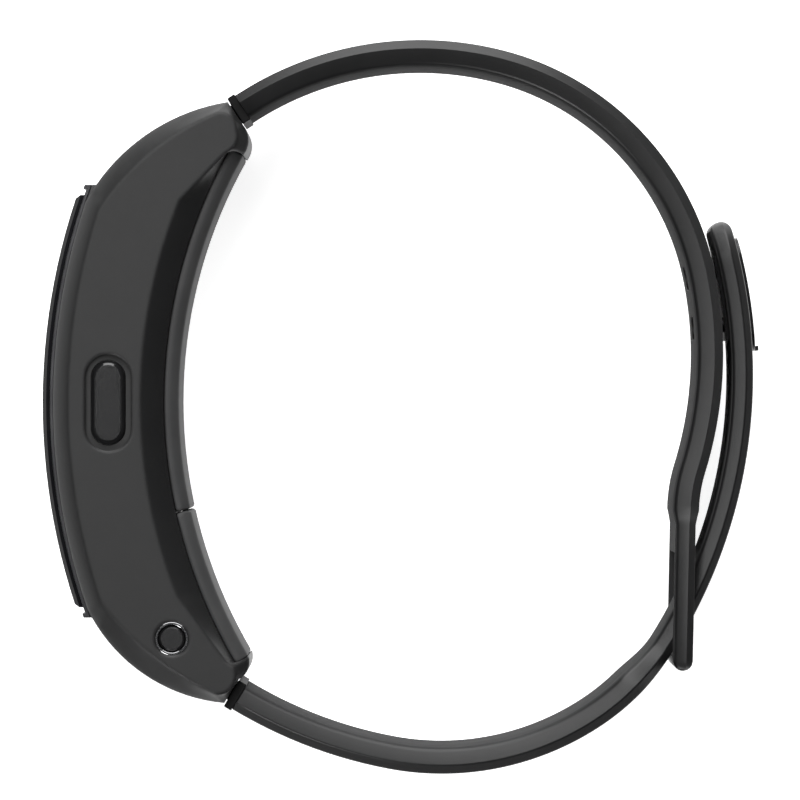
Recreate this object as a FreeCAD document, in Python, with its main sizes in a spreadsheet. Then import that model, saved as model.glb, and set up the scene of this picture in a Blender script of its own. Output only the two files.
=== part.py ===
import FreeCAD, Part
import math
import os
import Sketcher
from FreeCAD import Vector

# Fitness tracker band lying on its side. X runs from the display to the clasp, Y from the lower
# strap to the upper strap, and Z is the width of the band, with the key and the near button on top.
# Every length is in millimetres and every angle in degrees.

DRIVING_SIZES = {
    # Case frame; depths are measured in X behind the crown of the display glass
    "case_width": 22.0,
    "front_x": -29.7,
    "case_depth": 11.3,
    "glass_middle_y": 0.4,
    "glass_radius": 53.5,
    "glass_proud": 0.9,
    "wrist_middle_y": 0.5,
    "wrist_radius": 41.4,
    "bevel_run": 1.3,
    "bevel_rise": 1.3,
    "back_bevel_run": 1.9,
    "tip_gap": 0.1,
    "tip_lip_half": 0.95,
    "tip_heel_half": 1.35,
    # Upper end of the case
    "top_corner_y": 17.0,
    "top_shoulder_depth": 8.8,
    "top_shoulder_y": 22.7,
    "top_tip_depth": 17.08,
    "top_tip_y": 22.2,
    "top_face_shoulder_depth": 9.1,
    "top_face_shoulder_y": 21.15,
    "top_face_lip_depth": 14.64,
    "top_face_lip_y": 24.44,
    "top_face_round_depth": 15.6,
    "top_face_round_y": 24.1,
    "top_face_heel_depth": 16.1,
    "top_face_heel_y": 22.95,
    "top_face_tip_depth": 16.17,
    "top_face_tip_y": 22.3,
    "top_face_knee_depth": 15.8,
    "top_face_knee_y": 21.46,
    "top_face_cheek_depth": 15.1,
    "top_face_cheek_y": 20.85,
    "top_run_out_y": 17.14,
    # Lower end of the case
    "bottom_corner_y": -16.7,
    "bottom_shoulder_depth": 9.1,
    "bottom_shoulder_y": -22.5,
    "bottom_tip_depth": 17.02,
    "bottom_tip_y": -21.7,
    "bottom_face_shoulder_depth": 9.1,
    "bottom_face_shoulder_y": -20.35,
    "bottom_face_lip_depth": 14.3,
    "bottom_face_lip_y": -23.65,
    "bottom_face_round_depth": 15.35,
    "bottom_face_round_y": -23.5,
    "bottom_face_heel_depth": 15.92,
    "bottom_face_heel_y": -22.75,
    "bottom_face_tip_depth": 16.02,
    "bottom_face_tip_y": -22.2,
    "bottom_face_knee_depth": 15.75,
    "bottom_face_knee_y": -21.45,
    "bottom_face_cheek_depth": 15.15,
    "bottom_face_cheek_y": -20.9,
    "bottom_run_out_y": -15.6,
    # Back covers
    "cover_thickness": 1.25,
    "cover_margin": 1.5,
    "cover_top": 20.9,
    "cover_bottom": -20.6,
    "cover_seam": -8.4,
    "seam_gap": 0.08,
    "cover_edge": 0.7,
    # Tracker core
    "core_top": 18.45,
    "core_bottom": -17.4,
    "side_wall": 1.65,
    "core_clearance": 0.15,
    "floor_thickness": 1.0,
    "shell_wall": 0.9,
    "glass_thickness": 0.6,
    "glass_inset": 0.35,
    "glass_edge": 0.3,
    "bezel_thickness": 0.3,
    "bezel_width": 1.1,
    "end_rim_length": 0.85,
    "end_lip_length": 0.35,
    "end_lip_height": 0.25,
    "panel_thickness": 0.7,
    "panel_end_margin": 4.9,
    "panel_side_margin": 1.35,
    "stack_gap": 0.12,
    "board_thickness": 0.8,
    "board_end_margin": 5.4,
    "board_side_margin": 0.8,
    "board_depth": 3.3,
    "battery_clearance": 0.58,
    "battery_length": 15.0,
    "battery_side_margin": 1.0,
    "battery_corner": 1.0,
    "motor_diameter": 7.0,
    "motor_thickness": 2.2,
    "motor_place": -11.5,
    "port_width": 7.0,
    "port_height": 2.2,
    "port_depth": 4.0,
    "port_wall": 0.3,
    # Function key
    "key_depth": 5.5,
    "key_y": 0.4,
    "key_length": 6.95,
    "key_width": 2.76,
    "key_proud": 0.15,
    "key_edge": 0.35,
    "key_clearance": 0.08,
    "key_travel": 0.35,
    "key_flange": 0.3,
    "key_flange_width": 0.4,
    "recess_rim": 0.5,
    "recess_depth": 0.55,
    "dome_thickness": 0.12,
    "dome_gap": 0.02,
    "seal_thickness": 0.2,
    # Release buttons
    "button_depth": 10.75,
    "button_y": -19.1,
    "button_diameter": 2.2,
    "button_length": 2.6,
    "button_sink": 0.05,
    "button_edge": 0.2,
    "button_travel": 0.5,
    "ring_diameter": 2.76,
    "ring_depth": 0.9,
    "button_clearance": 0.05,
    "pad_thickness": 0.4,
    # Straps
    "strap_margin": 2.0,
    "strap_thickness": 2.2,
    "strap_bevel": 0.72,
    "strap_inner_edge": 0.42,
    "upper_start_depth": 16.55,
    "upper_start_y": 24.93,
    "upper_heading": 33.5,
    "upper_radius_1": 26.7,
    "upper_turn_1": 48.4,
    "upper_radius_2": 22.8,
    "upper_turn_2": 63.1,
    "upper_radius_3": 32.3,
    "upper_turn_3": 29.2,
    "upper_radius_4": 12.5,
    "upper_turn_4": 16.0,
    "slot_pitch": 4.5,
    "slot_play": 0.35,
    # Keeper ring at the end of the upper strap
    "keeper_overhang": 0.5,
    "keeper_thickness": 1.65,
    "keeper_length": 13.3,
    "keeper_tongue_gap": 0.4,
    "keeper_bar": 1.25,
    "keeper_opening": 8.5,
    # Lower strap and its tongue
    "lower_start_depth": 16.25,
    "lower_start_y": -24.05,
    "lower_heading": -31.2,
    "lower_radius_1": 37.85,
    "lower_turn_1": 20.6,
    "lower_radius_2": 22.8,
    "lower_turn_2": 43.7,
    "lower_radius_3": 19.5,
    "lower_turn_3": 16.0,
    "neck_turn": 8.5,
    "shoulder_turn": 5.0,
    "tongue_radius": 41.7,
    "neck_to_hinge_turn": 13.9,
    "tail_turn": 33.3,
    "tongue_step": 1.8,
    "tongue_thickness": 1.8,
    "tail_gap": 0.06,
    "tail_corner": 3.0,
    "tail_rim_end": 1.2,
    # Strap links and pins
    "link_thickness": 0.7,
    "link_height": 2.5,
    "link_margin": 0.5,
    "lug_length": 2.6,
    "lug_thickness": 1.5,
    "lug_margin": 4.0,
    "lug_clearance": 0.05,
    "pin_diameter": 0.8,
    "pin_grip": 2.0,
    "pin_inset": 1.6,
    # Clasp
    "clasp_length": 9.5,
    "clasp_margin": 2.2,
    "clasp_thickness": 0.3,
    "clasp_corner": 1.5,
    "clasp_angle": 9.1,
    "clasp_lip_length": 0.4,
    "clasp_lip_height": 0.3,
    "base_thickness": 0.3,
    "base_length": 7.5,
    "base_margin": 3.2,
    "stud_length": 1.3,
    "stud_width": 5.0,
    "stud_tip": 0.3,
    "stud_height": 2.1,
}

# Sizes that follow from the driving sizes
DERIVED_SIZES = {
    "core_width": "case_width - 2 * (side_wall + core_clearance)",
    "core_length": "core_top - core_bottom",
    "cover_width": "case_width - 2 * cover_margin",
    "seat_radius": "wrist_radius + cover_thickness",
    "panel_width": "core_width - 2 * (bezel_width + panel_side_margin)",
    "panel_length": "core_length - 2 * panel_end_margin",
    "board_width": "core_width - 2 * (shell_wall + board_side_margin)",
    "board_length": "core_length - 2 * board_end_margin",
    "battery_width": "board_width - 2 * battery_side_margin",
    "floor_depth": "case_depth - cover_thickness - floor_thickness - core_clearance - shell_wall",
    "battery_depth": "board_depth + board_thickness + stack_gap",
    "battery_thickness": "floor_depth - battery_depth - battery_clearance",
    "strap_width": "case_width - 2 * strap_margin",
    "tongue_width": "strap_width - 2 * tongue_step",
    "keeper_width": "strap_width + 2 * keeper_overhang",
    "link_width": "strap_width - 2 * link_margin",
    "lug_width": "link_width - 2 * lug_margin",
    "pin_length": "lug_width + 2 * pin_grip",
    "clasp_width": "tongue_width - 2 * clasp_margin",
    "base_width": "tongue_width - 2 * base_margin",
    "slot_length": "stud_length + 2 * slot_play",
    "slot_width": "stud_width + 2 * slot_play",
}

SHEET = "sizes"
UP = Vector(0, 0, 1)
TOLERANCE = 1e-4


def at(name):
    """Expression that points to one cell of the sheet."""
    return SHEET + "." + name


def make_document():
    """Open the document and fill its sheet with the driving sizes."""
    document = FreeCAD.newDocument("FitnessBand")
    sheet = document.addObject("Spreadsheet::Sheet", SHEET)
    cells = {alias: str(value) for alias, value in DRIVING_SIZES.items()}
    cells.update({alias: "=" + formula for alias, formula in DERIVED_SIZES.items()})
    for row, (alias, content) in enumerate(cells.items(), start=1):
        sheet.set("A%d" % row, alias)
        sheet.set("B%d" % row, content)
        sheet.setAlias("B%d" % row, alias)
    document.recompute()
    return document, sheet


doc, sizes = make_document()


def size(name):
    """Value of one cell of the sheet."""
    return float(sizes.get(name))


# Plane geometry


def polar(centre, radius, angle):
    """Point at an angle in radians on a circle."""
    return Vector(centre.x + radius * math.cos(angle), centre.y + radius * math.sin(angle), 0)


def bearing(centre, point):
    """Angle in radians of a point seen from a centre."""
    return math.atan2(point.y - centre.y, point.x - centre.x)


def on_circle_at_y(centre, radius, y):
    """Point with a given Y on the display side of a circle."""
    return Vector(centre.x - math.sqrt(radius ** 2 - (y - centre.y) ** 2), y, 0)


def centre_of_three(first, second, third):
    """Centre of the circle through three points."""
    return Part.Circle(first, second, third).Center


class Outline:
    """Closed outline in the XY plane, drawn edge by edge."""

    def __init__(self, start):
        self.start = start
        self.point = start
        self.edges = []

    def line(self, end):
        """Straight edge to a point."""
        self.edges.append((self.point, end, None, False, None))
        self.point = end
        return self

    def arc(self, centre, end, turns_left, radius=None):
        """Round edge to a point, with the expression of its radius if it has one."""
        self.edges.append((self.point, end, centre, turns_left, radius))
        self.point = end
        return self

    def arc_through(self, middle, end):
        """Round edge to a point by way of a middle point."""
        centre = centre_of_three(self.point, middle, end)
        swing = (middle - self.point).cross(end - middle).z
        return self.arc(centre, end, swing > 0)

    def draw(self, sketch):
        """Add the edges to a sketch, joined end to end, with bound radii."""
        ends = []
        for first, last, centre, turns_left, radius in self.edges:
            if centre is None:
                number = sketch.addGeometry(Part.LineSegment(first, last), False)
                ends.append((number, 1, 2))
                continue
            low, high = (first, last) if turns_left else (last, first)
            circle = Part.Circle(centre, UP, (first - centre).Length)
            arc = Part.ArcOfCircle(circle, bearing(centre, low), bearing(centre, high))
            number = sketch.addGeometry(arc, False)
            ends.append((number, 1, 2) if turns_left else (number, 2, 1))
        for here, there in zip(ends, ends[1:] + ends[:1]):
            sketch.addConstraint(Sketcher.Constraint("Coincident", here[0], here[2], there[0], there[1]))
        for (first, last, centre, turns_left, radius), (number, _, _) in zip(self.edges, ends):
            if radius is not None:
                length = (first - centre).Length
                bound = sketch.addConstraint(Sketcher.Constraint("Radius", number, length))
                sketch.setExpression("Constraints[%d]" % bound, radius)
        return sketch


# Features of a body


def new_body(label):
    """Empty body with its own label."""
    body = doc.addObject("PartDesign::Body", label)
    body.Label = label
    return body


def plane_of(body, role):
    """Origin plane of a body by its role."""
    return next(item for item in body.Origin.OriginFeatures if item.Role == role)


def flat_sketch(body, name, height):
    """Sketch parallel to the XY plane at a height given as an expression."""
    sketch = body.newObject("Sketcher::SketchObject", name)
    sketch.AttachmentSupport = [(plane_of(body, "XY_Plane"), "")]
    sketch.MapMode = "FlatFace"
    sketch.setExpression("AttachmentOffset.Base.z", height)
    return sketch


def pad(body, name, outline, low, thickness):
    """Outline raised from a height by a thickness, both given as expressions."""
    sketch = flat_sketch(body, name + "Sketch", low)
    outline.draw(sketch)
    feature = body.newObject("PartDesign::Pad", name)
    feature.Profile = sketch
    feature.setExpression("Length", thickness)
    doc.recompute()
    return feature


def pocket(body, name, outline, low, depth):
    """Outline cut upwards from a height by a depth, both given as expressions."""
    before = body.Shape.Volume
    sketch = flat_sketch(body, name + "Sketch", low)
    outline.draw(sketch)
    feature = body.newObject("PartDesign::Pocket", name)
    feature.Profile = sketch
    feature.Reversed = True
    feature.setExpression("Length", depth)
    doc.recompute()
    if body.Shape.Volume >= before:
        raise ValueError(name + " cuts nothing")
    return feature


def loft(body, name, low_outline, low, high_outline, high):
    """Ruled solid between two outlines at two heights."""
    low_sketch = flat_sketch(body, name + "Low", low)
    low_outline.draw(low_sketch)
    high_sketch = flat_sketch(body, name + "High", high)
    high_outline.draw(high_sketch)
    feature = body.newObject("PartDesign::AdditiveLoft", name)
    feature.Profile = low_sketch
    feature.Sections = [high_sketch]
    feature.Ruled = True
    doc.recompute()
    return feature


def edge_names(feature, wanted):
    """Names of the edges of a feature that pass a test."""
    return ["Edge%d" % number for number, edge in enumerate(feature.Shape.Edges, start=1) if wanted(edge)]


def dress(body, name, kind, base, names, measure):
    """Fillet or chamfer with its size bound to the sheet."""
    feature = body.newObject("PartDesign::" + kind, name)
    feature.Base = (base, names)
    feature.setExpression("Radius" if kind == "Fillet" else "Size", measure)
    doc.recompute()
    return feature


def lies_at(edge, height):
    """Whether an edge lies flat at one height."""
    return all(abs(vertex.Z - height) < TOLERANCE for vertex in edge.Vertexes)


def circle_outline(centre, radius, expression):
    """Full circle as two half arcs."""
    left = centre - Vector(radius, 0, 0)
    right = centre + Vector(radius, 0, 0)
    return Outline(left).arc(centre, right, True, expression).arc(centre, left, True)


def obround_outline(centre, width, length):
    """Oblong with round ends, long in Y."""
    radius = width / 2
    half = length / 2 - radius
    top = centre + Vector(0, half, 0)
    bottom = centre - Vector(0, half, 0)
    side = Vector(radius, 0, 0)
    outline = Outline(top + side).arc(top, top - side, True).line(bottom - side)
    return outline.arc(bottom, bottom + side, True).line(top + side)


# Places and curves shared by several sub-parts



def behind_crown(name):
    """Point given by its depth behind the crown of the glass and its Y."""
    return Vector(size("front_x") + size(name + "_depth"), size(name + "_y"), 0)


FRONT_CENTRE = Vector(size("front_x") + size("glass_radius"), size("glass_middle_y"), 0)
WRIST_CROWN = size("front_x") + size("case_depth")
BACK_CENTRE = Vector(WRIST_CROWN + size("wrist_radius"), size("wrist_middle_y"), 0)
KEY_PLACE = behind_crown("key")
BUTTON_PLACE = behind_crown("button")


class Span:
    """One arc of a strap's centre line, walked from its first to its last angle."""

    def __init__(self, centre, radius, first, last):
        self.centre = centre
        self.radius = radius
        self.first = first
        self.last = last
        self.turns_left = last > first

    def point(self, angle, left):
        """Point beside the centre line, a distance to its left."""
        radius = self.radius - left if self.turns_left else self.radius + left
        return polar(self.centre, radius, angle)


class Chain:
    """Centre line of a strap, made of tangent arcs."""

    def __init__(self, start, heading):
        self.point = start
        self.heading = math.radians(heading)
        self.spans = []

    def bend(self, radius, turn, turns_left):
        """Add an arc that keeps the heading at its start."""
        sign = 1 if turns_left else -1
        centre = self.point + self.left() * (sign * radius)
        first = bearing(centre, self.point)
        last = first + sign * math.radians(turn)
        self.spans.append(Span(centre, radius, first, last))
        self.point = polar(centre, radius, last)
        self.heading += sign * math.radians(turn)
        return self

    def ahead(self):
        """Unit vector along the strap."""
        return Vector(math.cos(self.heading), math.sin(self.heading), 0)

    def left(self):
        """Unit vector to the left of the strap."""
        return Vector(-math.sin(self.heading), math.cos(self.heading), 0)


def band_outline(spans, left, right, cap=None):
    """Closed outline round some arcs, with an optional round cap at the far end."""
    outline = Outline(spans[0].point(spans[0].first, -right))
    for span in spans:
        outline.arc(span.centre, span.point(span.last, -right), span.turns_left)
    far = spans[-1].point(spans[-1].last, left)
    if cap is None:
        outline.line(far)
    else:
        outline.arc_through(cap, far)
    for span in reversed(spans):
        outline.arc(span.centre, span.point(span.first, left), not span.turns_left)
    return outline.line(outline.start)


def upper_chain():
    """Centre line of the upper strap, from the case to the keeper ring."""
    chain = Chain(behind_crown("upper_start"), size("upper_heading"))
    for number in (1, 2, 3):
        chain.bend(size("upper_radius_%d" % number), size("upper_turn_%d" % number), False)
    return chain.bend(size("upper_radius_4"), size("upper_turn_4"), True)


def lower_chain():
    """Centre line of the lower strap, from the case to the end of its tail."""
    chain = Chain(behind_crown("lower_start"), size("lower_heading"))
    for number in (1, 2, 3):
        chain.bend(size("lower_radius_%d" % number), size("lower_turn_%d" % number), True)
    chain.bend(size("lower_radius_3"), size("neck_turn"), True)
    chain.bend(size("tongue_radius"), size("neck_to_hinge_turn"), True)
    return chain.bend(size("tongue_radius"), size("tail_turn"), True)


UPPER = upper_chain()
LOWER = lower_chain()
TAIL_SPAN = LOWER.spans[-1]
HALF_STRAP = size("strap_thickness") / 2
TONGUE_INNER = size("tongue_thickness") - HALF_STRAP
TONGUE_CENTRE = TAIL_SPAN.centre
TAIL_OUTER_RADIUS = size("tongue_radius") + HALF_STRAP
TAIL_INNER_RADIUS = TAIL_OUTER_RADIUS - size("tongue_thickness")


class Lug:
    """Place and directions of the joint between the case and one strap."""

    def __init__(self, chain_start, heading, outward_sign):
        angle = math.radians(heading)
        self.root = chain_start
        self.ahead = Vector(math.cos(angle), math.sin(angle), 0)
        self.outward = Vector(-math.sin(angle), math.cos(angle), 0) * outward_sign
        self.face = self.root - self.ahead * (size("link_thickness") + size("tip_gap"))
        self.pin = self.face - self.ahead * size("pin_inset")

    def block(self, near, far, half):
        """Rectangle between two distances along the strap, measured back from the root."""
        corners = []
        for along, across in ((near, half), (near, -half), (far, -half), (far, half)):
            corners.append(self.root - self.ahead * along + self.outward * across)
        outline = Outline(corners[0])
        for corner in corners[1:]:
            outline.line(corner)
        return outline.line(corners[0])


TOP_LUG = Lug(behind_crown("upper_start"), size("upper_heading"), 1)
BOTTOM_LUG = Lug(behind_crown("lower_start"), size("lower_heading"), -1)
FRAME_FRONT = size("glass_radius") - size("glass_proud")
SEAT_RADIUS = size("seat_radius")
FACE_BACK_RADIUS = SEAT_RADIUS + size("back_bevel_run")
FLOOR_RADIUS = SEAT_RADIUS + size("floor_thickness")


class CaseEnd:
    """Corner points of one end of the case, on its full outline and on its side face."""

    def __init__(self, name, lug):
        self.corner = on_circle_at_y(FRONT_CENTRE, FRAME_FRONT, size(name + "_corner_y"))
        self.shoulder = behind_crown(name + "_shoulder")
        self.lip = lug.face + lug.outward * size("tip_lip_half")
        self.heel = lug.face - lug.outward * size("tip_heel_half")
        self.tip = behind_crown(name + "_tip")
        self.cover_end = on_circle_at_y(BACK_CENTRE, size("wrist_radius"), size("cover_" + name))
        self.step = polar(BACK_CENTRE, SEAT_RADIUS, bearing(BACK_CENTRE, self.cover_end))
        centre = centre_of_three(self.corner, self.shoulder, self.lip)
        self.face_corner = self.corner + (centre - self.corner).normalize() * size("bevel_run")
        self.face_shoulder = behind_crown(name + "_face_shoulder")
        self.face_lip = behind_crown(name + "_face_lip")
        self.face_round = behind_crown(name + "_face_round")
        self.face_heel = behind_crown(name + "_face_heel")
        self.face_tip = behind_crown(name + "_face_tip")
        self.face_knee = behind_crown(name + "_face_knee")
        self.face_cheek = behind_crown(name + "_face_cheek")
        self.face_run_out = on_circle_at_y(BACK_CENTRE, FACE_BACK_RADIUS, size(name + "_run_out_y"))
        self.run_out = polar(BACK_CENTRE, SEAT_RADIUS, bearing(BACK_CENTRE, self.face_run_out))


TOP_END = CaseEnd("top", TOP_LUG)
BOTTOM_END = CaseEnd("bottom", BOTTOM_LUG)


def case_outline():
    """Full side outline of the case, with the step that the back covers fill."""
    top, bottom = TOP_END, BOTTOM_END
    outline = Outline(top.corner).arc(FRONT_CENTRE, bottom.corner, True)
    outline.arc_through(bottom.shoulder, bottom.lip).line(bottom.heel)
    outline.arc_through(bottom.tip, bottom.cover_end).line(bottom.step)
    outline.arc(BACK_CENTRE, bottom.run_out, False).arc(BACK_CENTRE, top.run_out, False, at("seat_radius"))
    outline.arc(BACK_CENTRE, top.step, False)
    outline.line(top.cover_end).arc_through(top.tip, top.heel).line(top.lip)
    return outline.arc_through(top.shoulder, top.corner)


def case_face_outline():
    """Outline of the flat side face, inside the bevels."""
    top, bottom = TOP_END, BOTTOM_END
    crown = FRONT_CENTRE - Vector(FRAME_FRONT - size("bevel_run"), 0, 0)
    outline = Outline(top.face_corner).arc_through(crown, bottom.face_corner)
    outline.arc_through(bottom.face_shoulder, bottom.face_lip)
    outline.arc_through(bottom.face_round, bottom.face_heel)
    outline.arc_through(bottom.face_tip, bottom.face_knee)
    outline.line(bottom.face_cheek).line(bottom.face_run_out)
    outline.arc(BACK_CENTRE, top.face_run_out, False)
    outline.line(top.face_cheek).line(top.face_knee)
    outline.arc_through(top.face_tip, top.face_heel)
    outline.arc_through(top.face_round, top.face_lip)
    return outline.arc_through(top.face_shoulder, top.face_corner)


def core_outline(front_radius, back_radius, grow):
    """Side outline of the tracker core between two curved faces, grown at its two ends."""
    top = size("core_top") + grow
    bottom = size("core_bottom") - grow
    outline = Outline(on_circle_at_y(FRONT_CENTRE, front_radius, top))
    outline.arc(FRONT_CENTRE, on_circle_at_y(FRONT_CENTRE, front_radius, bottom), True)
    outline.line(on_circle_at_y(BACK_CENTRE, back_radius, bottom))
    outline.arc(BACK_CENTRE, on_circle_at_y(BACK_CENTRE, back_radius, top), False)
    return outline.line(outline.start)


def shell_outline(outer_radius, inner_radius, top, bottom):
    """Thin curved slice that follows the display glass."""
    outline = Outline(on_circle_at_y(FRONT_CENTRE, outer_radius, top))
    outline.arc(FRONT_CENTRE, on_circle_at_y(FRONT_CENTRE, outer_radius, bottom), True)
    outline.line(on_circle_at_y(FRONT_CENTRE, inner_radius, bottom))
    outline.arc(FRONT_CENTRE, on_circle_at_y(FRONT_CENTRE, inner_radius, top), False)
    return outline.line(outline.start)


def cover_outline(high, low):
    """Curved slice of a back cover between two heights in Y."""
    outer, inner = SEAT_RADIUS, size("wrist_radius")
    high_angle = bearing(BACK_CENTRE, on_circle_at_y(BACK_CENTRE, inner, high))
    low_angle = bearing(BACK_CENTRE, on_circle_at_y(BACK_CENTRE, inner, low))
    outline = Outline(polar(BACK_CENTRE, outer, high_angle))
    outline.arc(BACK_CENTRE, polar(BACK_CENTRE, outer, low_angle), True, at("seat_radius"))
    outline.line(polar(BACK_CENTRE, inner, low_angle))
    outline.arc(BACK_CENTRE, polar(BACK_CENTRE, inner, high_angle), False, at("wrist_radius"))
    return outline.line(outline.start)


def centred(width, extra="0"):
    """Expressions of the low face and the width of something centred across the band."""
    low = "(%s - %s) / 2 - (%s) / 2" % (at("case_width"), width, extra)
    return low, "%s + %s" % (width, extra)


# Case frame: crescent moulding with bevelled sides, open to the front for the tracker core


def case_frame():
    """Crescent frame that carries the core, the key, the buttons and both strap joints."""
    body = new_body("case_frame")
    rise = at("bevel_rise")
    width = at("case_width")
    loft(body, "LowBevel", case_face_outline(), "0", case_outline(), rise)
    pad(body, "Rim", case_outline(), rise, "%s - 2 * %s" % (width, rise))
    loft(body, "HighBevel", case_outline(), "%s - %s" % (width, rise), case_face_outline(), width)
    cut_core_pocket(body)
    cut_key_hole(body)
    for upper_side in (True, False):
        cut_button_bore(body, upper_side)
    for lug, name in ((TOP_LUG, "Top"), (BOTTOM_LUG, "Bottom")):
        cut_lug_slot(body, lug, name)
    return body


def cut_core_pocket(body):
    """Pocket for the tracker core, open towards the display side."""
    grow = size("core_clearance")
    front = FRONT_CENTRE.x - size("glass_radius") - size("case_width")
    top = on_circle_at_y(BACK_CENTRE, FLOOR_RADIUS, size("core_top") + grow)
    bottom = on_circle_at_y(BACK_CENTRE, FLOOR_RADIUS, size("core_bottom") - grow)
    outline = Outline(Vector(front, top.y, 0)).line(Vector(front, bottom.y, 0)).line(bottom)
    outline.arc(BACK_CENTRE, top, False).line(outline.start)
    low, depth = centred(at("core_width"), "2 * " + at("core_clearance"))
    pocket(body, "CorePocket", outline, low, depth)


def key_outline(grow):
    """Oblong outline of the function key, grown all round."""
    return obround_outline(KEY_PLACE, size("key_width") + 2 * grow, size("key_length") + 2 * grow)


WALL_LOW = "(%s + %s) / 2 + %s" % (at("case_width"), at("core_width"), at("core_clearance"))
DOME_TOP = "%s + %s + %s" % (WALL_LOW, at("dome_gap"), at("dome_thickness"))
FLANGE_LOW = "%s + %s + 2 * %s" % (DOME_TOP, at("key_travel"), at("dome_gap"))
FLANGE_TOP = "%s + %s" % (FLANGE_LOW, at("key_flange"))
REBATE_TOP = "%s + %s" % (FLANGE_TOP, at("dome_gap"))


def cut_key_hole(body):
    """Sunk oblong, through hole and inner rebate for the function key."""
    width = at("case_width")
    depth = at("recess_depth")
    pocket(body, "KeyRecess", key_outline(size("recess_rim")), "%s - %s" % (width, depth), "%s * 2" % depth)
    pocket(body, "KeyHole", key_outline(size("key_clearance")), "%s - %s" % (WALL_LOW, depth), width)
    reach = size("key_flange_width") + size("key_clearance")
    low = "%s - %s" % (WALL_LOW, at("core_clearance"))
    pocket(body, "KeyRebate", key_outline(reach), low, "%s - (%s)" % (REBATE_TOP, low))


def button_depth(part):
    """Expression of a depth below the case side, for one level of the release button."""
    button_low = "%s + %s" % (at("button_sink"), at("button_length"))
    pad_top = "%s + %s + 2 * %s" % (button_low, at("button_travel"), at("button_clearance"))
    levels = {
        "button_top": at("button_sink"),
        "button_low": button_low,
        "ring_low": at("ring_depth"),
        "pad_top": pad_top,
        "pad_low": "%s + %s" % (pad_top, at("pad_thickness")),
    }
    return levels[part]


def between(shallow, deep, upper_side):
    """Low face and thickness of a slice between two depths below a case side."""
    low = "%s - (%s)" % (at("case_width"), deep) if upper_side else shallow
    return low, "(%s) - (%s)" % (deep, shallow)


def button_circle(diameter, grow=0):
    """Circle round the release button's axis."""
    return circle_outline(BUTTON_PLACE, size(diameter) / 2 + grow, None)


def cut_button_bore(body, upper_side):
    """Stepped bore for a release button, its ring and its return pad."""
    side = "Near" if upper_side else "Far"
    outside = "-" + at("ring_depth")
    clearance = size("button_clearance")
    low, depth = between(outside, button_depth("ring_low"), upper_side)
    pocket(body, side + "RingBore", button_circle("ring_diameter"), low, depth)
    low, depth = between(outside, button_depth("pad_low"), upper_side)
    pocket(body, side + "ButtonBore", button_circle("button_diameter", clearance), low, depth)


def cut_lug_slot(body, lug, name):
    """Slot for a strap link's tongue and the bore for its pin."""
    clearance = size("lug_clearance")
    near = size("link_thickness") - size("tip_gap")
    far = size("link_thickness") + size("tip_gap") + size("lug_length") + clearance
    outline = lug.block(near, far, size("lug_thickness") / 2 + clearance)
    low, depth = centred(at("lug_width"), "2 * " + at("lug_clearance"))
    pocket(body, name + "LugSlot", outline, low, depth)
    low, depth = centred(at("pin_length"))
    pin = circle_outline(lug.pin, size("pin_diameter") / 2, None)
    pocket(body, name + "PinBore", pin, low, depth)


# Back covers, seen as the light band on the wrist side of the case


def back_cover(label, high, low):
    """Cover strip on the wrist side of the case, with sloped rims."""
    body = new_body(label)
    base, width = centred(at("cover_width"))
    feature = pad(body, "Strip", cover_outline(high, low), base, width)
    centre = BACK_CENTRE
    inner = size("wrist_radius")

    def on_wrist_rim(edge):
        ends = [vertex.Point for vertex in edge.Vertexes]
        flat = lies_at(edge, ends[0].z)
        near = all(abs(Vector(p.x - centre.x, p.y - centre.y, 0).Length - inner) < TOLERANCE for p in ends)
        return flat and near and edge.Length > size("cover_thickness")

    dress(body, "SlopedRim", "Chamfer", feature, edge_names(feature, on_wrist_rim), at("cover_edge"))
    return body


# Function key in the side of the frame


def function_key():
    """Oblong key cap with the flange that keeps it in the wall."""
    body = new_body("function_key")
    top = "%s + %s" % (at("case_width"), at("key_proud"))
    cap = pad(body, "Cap", key_outline(0), FLANGE_LOW, "%s - (%s)" % (top, FLANGE_LOW))
    height = size("case_width") + size("key_proud")
    names = edge_names(cap, lambda edge: lies_at(edge, height))
    dress(body, "CapEdge", "Chamfer", cap, names, at("key_edge"))
    pad(body, "Flange", key_outline(size("key_flange_width")), FLANGE_LOW, at("key_flange"))
    return body


def key_seal():
    """Rubber ring at the bottom of the key's recess."""
    body = new_body("key_seal")
    low = "%s - %s" % (at("case_width"), at("recess_depth"))
    pad(body, "Ring", key_outline(size("recess_rim")), low, at("seal_thickness"))
    pocket(body, "Hole", key_outline(size("key_clearance")), low, at("seal_thickness"))
    return body


def key_dome():
    """Thin metal snap plate under the key."""
    body = new_body("key_dome")
    low = "%s + %s" % (WALL_LOW, at("dome_gap"))
    pad(body, "Plate", key_outline(size("key_flange_width")), low, at("dome_thickness"))
    return body


# Release buttons, one on each side of the case


def release_button(label, upper_side):
    """Round button with a chamfered face."""
    body = new_body(label)
    low, length = between(button_depth("button_top"), button_depth("button_low"), upper_side)
    barrel = pad(body, "Barrel", button_circle("button_diameter"), low, length)
    sink = size("button_sink")
    face = size("case_width") - sink if upper_side else sink
    names = edge_names(barrel, lambda edge: lies_at(edge, face))
    dress(body, "FaceEdge", "Chamfer", barrel, names, at("button_edge"))
    return body


def button_ring(label, upper_side):
    """Metal ring round a release button."""
    body = new_body(label)
    low, depth = between("0", button_depth("ring_low"), upper_side)
    ring = pad(body, "Ring", button_circle("ring_diameter"), low, depth)
    pocket(body, "Bore", button_circle("button_diameter", size("button_clearance")), low, depth)
    return body


def button_pad(label, upper_side):
    """Rubber return pad at the bottom of the button's bore."""
    body = new_body(label)
    low, depth = between(button_depth("pad_top"), button_depth("pad_low"), upper_side)
    pad(body, "Disc", button_circle("button_diameter"), low, depth)
    return body


# Tracker core: shell, screen stack and what is sealed inside it

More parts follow.
